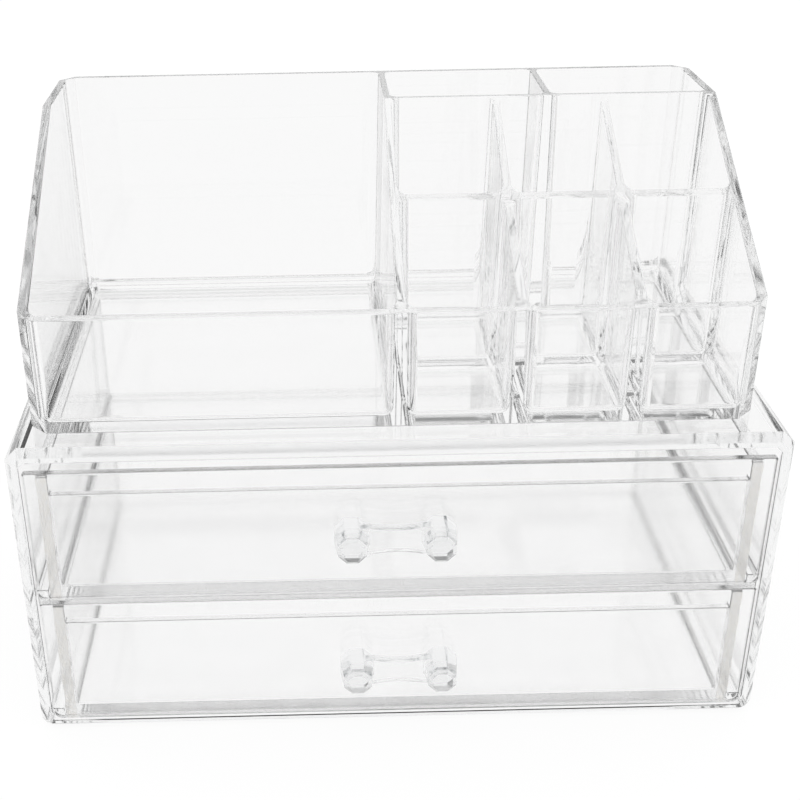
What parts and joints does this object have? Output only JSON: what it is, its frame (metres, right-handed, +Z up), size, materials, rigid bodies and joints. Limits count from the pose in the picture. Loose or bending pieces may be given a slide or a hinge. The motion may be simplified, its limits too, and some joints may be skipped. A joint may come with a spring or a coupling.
{
  "type": "drawer organizer",
  "caption": "Clear plastic vanity organizer: a cabinet with stacked pull-out drawers with octagonal-knob handles, and a loose sloped tray of open compartments standing on top.",
  "frame": {"origin": "centre of the cabinet's underside", "axes": "+X to the right, +Y to the back, +Z up; the drawers open along -Y"},
  "size_m": [0.238, 0.1471, 0.1877],
  "materials": {
    "clear_plastic": "clear, polished moulding",
    "adhesive": "cured glue line"
  },
  "bodies": {
    "cabinet": {"cabinet_shell": "clear_plastic"},
    "upper_drawer": {"upper_drawer_body": "clear_plastic", "upper_drawer_front": "clear_plastic", "upper_drawer_handle": "clear_plastic", "upper_drawer_left_bond": "adhesive", "upper_drawer_right_bond": "adhesive"},
    "lower_drawer": {"lower_drawer_body": "clear_plastic", "lower_drawer_front": "clear_plastic", "lower_drawer_handle": "clear_plastic", "lower_drawer_left_bond": "adhesive", "lower_drawer_right_bond": "adhesive"},
    "tray": {"top_tray": "clear_plastic"}
  },
  "joints": [
    {"name": "upper_drawer_slide", "type": "slide", "parent": "cabinet", "child": "upper_drawer", "axis": [0, -1, 0], "range_m": [0, 0.1]},
    {"name": "lower_drawer_slide", "type": "slide", "parent": "cabinet", "child": "lower_drawer", "axis": [0, -1, 0], "range_m": [0, 0.1]},
    {"name": "tray_lift", "type": "slide", "parent": "cabinet", "child": "tray", "axis": [0, 0, 1], "range_m": [0, 0.1]}
  ]
}
